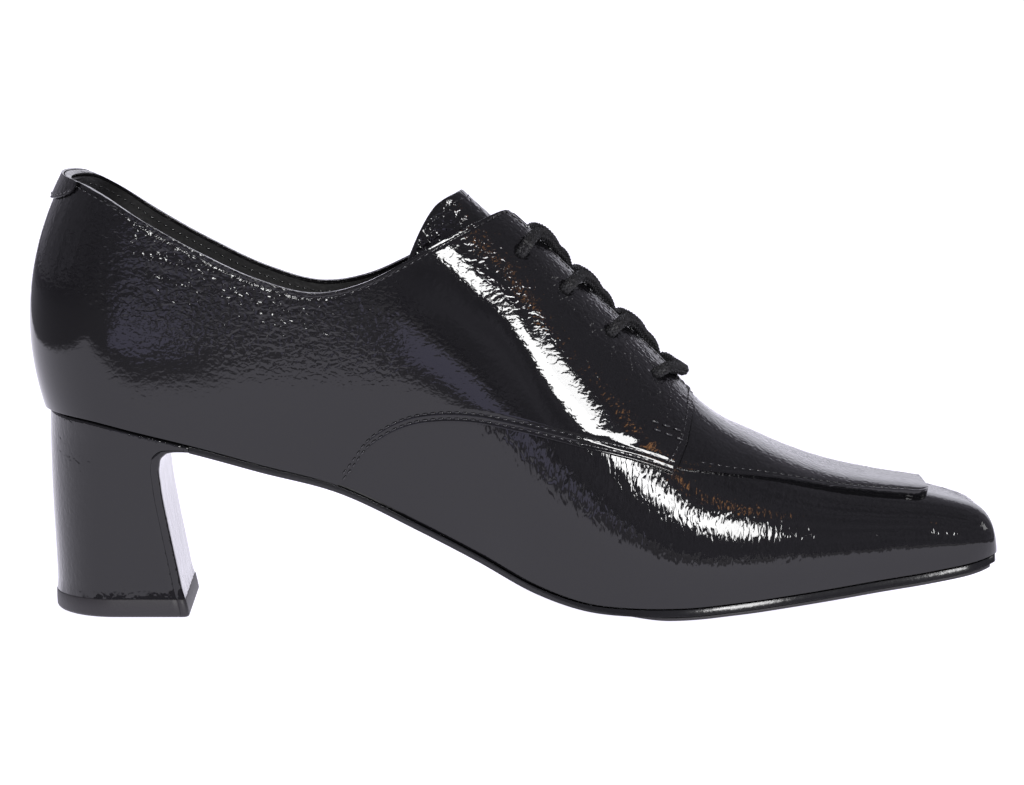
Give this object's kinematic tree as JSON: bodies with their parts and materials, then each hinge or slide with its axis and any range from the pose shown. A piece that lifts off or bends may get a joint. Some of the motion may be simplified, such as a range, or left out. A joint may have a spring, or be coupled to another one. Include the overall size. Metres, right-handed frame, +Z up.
{
  "type": "lace-up shoe",
  "caption": "Women's lace-up derby pump with a square toe, raised apron and low collar, on a covered block heel, standing empty and laced",
  "frame": {"origin": "middle of the bounding box in plan, at the floor that the sole and heel stand on", "axes": "+X points to the toe, +Y to the outer (little toe) side, +Z up"},
  "size_m": [0.2476, 0.0783, 0.1124],
  "materials": {
    "patent": "gloss, crinkled",
    "lining": "satin",
    "lace": "waxed braid",
    "rubber": "matte"
  },
  "bodies": {
    "root": {"top_piece": "rubber", "heel_block": "patent", "forefoot_tread": "rubber", "outsole": "rubber", "insole": "lining", "upper": "patent", "quarter_inner": "patent", "quarter_outer": "patent", "apron": "patent", "heel_tab": "patent", "tongue": "patent", "lace_bar_1": "lace", "lace_cross_2": "lace", "lace_cross_3": "lace", "lace_cross_4": "lace"}
  },
  "joints": []
}
